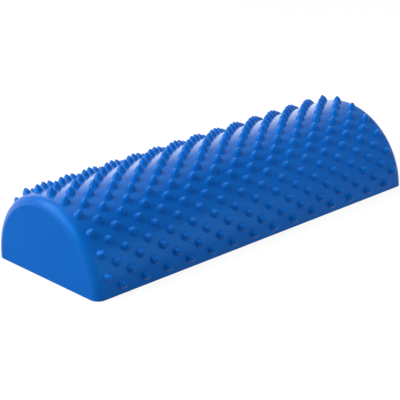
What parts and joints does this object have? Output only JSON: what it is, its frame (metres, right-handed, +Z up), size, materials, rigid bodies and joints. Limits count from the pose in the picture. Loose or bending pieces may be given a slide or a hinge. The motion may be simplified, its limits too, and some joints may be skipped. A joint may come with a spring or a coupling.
{
  "type": "textured half roller",
  "caption": "Half-round hollow roller with rows of cone-shaped nubs over its arch, rounded end walls, a flat underside and an air valve with a pull-out plug in one end.",
  "frame": {"origin": "middle of the flat underside", "axes": "+X along the roller towards the end wall that holds the valve, +Z up from the underside to the crest"},
  "size_m": [0.4, 0.1694, 0.0852],
  "materials": {
    "skin": "semi-gloss soft PVC, blue",
    "underside": "satin soft PVC, blue",
    "valve": "satin, darker blue",
    "plug": "satin, off-white"
  },
  "bodies": {
    "roller": {"textured_arch": "skin", "end_cap_plain": "skin", "end_cap_valve": "skin", "base_panel": "underside", "valve_seat": "valve"},
    "plug": {"valve_plug": "plug"}
  },
  "joints": [
    {"name": "plug_pull", "type": "slide", "parent": "roller", "child": "plug", "axis": [1, 0, 0], "range_m": [0, 0.02]}
  ]
}
